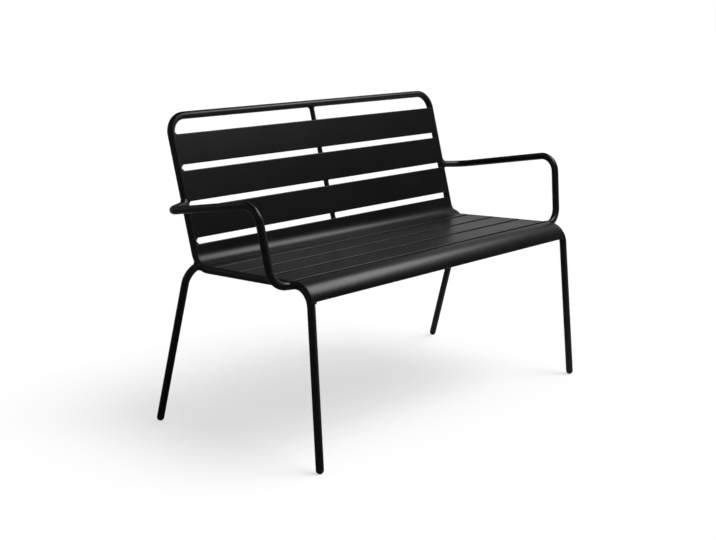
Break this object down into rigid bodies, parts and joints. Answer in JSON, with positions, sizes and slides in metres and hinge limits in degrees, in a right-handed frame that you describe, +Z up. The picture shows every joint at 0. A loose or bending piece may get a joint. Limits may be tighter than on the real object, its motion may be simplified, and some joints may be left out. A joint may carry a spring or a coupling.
{
  "type": "metal garden bench",
  "caption": "Two-seat garden bench of bent round steel tube with sheet-steel slats, open armrests and splayed legs, powder coated satin black.",
  "frame": {"origin": "on the floor, at the middle of the four feet", "axes": "+X to the viewer's right along the bench, -Y out of the front of the bench, +Z up"},
  "size_m": [1.1762, 0.6048, 0.826],
  "materials": {
    "powder_coat": "satin",
    "glide_plastic": "matte"
  },
  "bodies": {
    "root": {"frame_tube": "powder_coat", "rear_leg_left": "powder_coat", "rear_leg_right": "powder_coat", "armrest_left": "powder_coat", "armrest_right": "powder_coat", "back_slat_upper": "powder_coat", "back_slat_middle": "powder_coat", "back_slat_lower": "powder_coat", "seat_back_panel": "powder_coat", "seat_slat_rear": "powder_coat", "seat_slat_middle": "powder_coat", "seat_slat_front": "powder_coat", "seat_front_panel": "powder_coat", "centre_rod": "powder_coat", "front_glides": "glide_plastic", "rear_glides": "glide_plastic", "rear_leg_welds": "powder_coat", "arm_front_welds": "powder_coat", "arm_rear_welds": "powder_coat", "rod_weld": "powder_coat", "panel_welds": "powder_coat", "rod_tacks": "powder_coat"}
  },
  "joints": []
}
